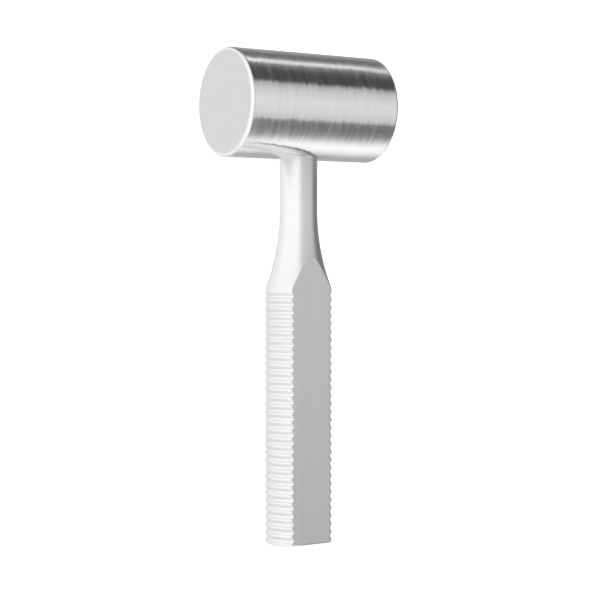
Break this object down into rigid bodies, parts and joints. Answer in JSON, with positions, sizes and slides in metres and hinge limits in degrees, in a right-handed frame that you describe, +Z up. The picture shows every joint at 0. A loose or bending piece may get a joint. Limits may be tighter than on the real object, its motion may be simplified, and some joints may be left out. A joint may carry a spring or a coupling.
{
  "type": "surgical mallet",
  "caption": "Surgical mallet: a solid cylindrical steel head on a bottle-necked steel handle with grooved sides and two flats, lying at rest.",
  "frame": {"origin": "centre of the bounding box's base, on the surface that the mallet lies on", "axes": "+X along the barrel from one striking face to the other, +Y from the end of the grip towards the head, +Z up off the surface"},
  "size_m": [0.0642, 0.184, 0.04],
  "materials": {
    "head_steel": "turned and brushed round the barrel, finely lapped on the striking faces",
    "handle_steel": "even satin, silky on the neck and in the grooves and matt on the two flats"
  },
  "bodies": {
    "root": {"head": "head_steel", "handle": "handle_steel"}
  },
  "joints": []
}
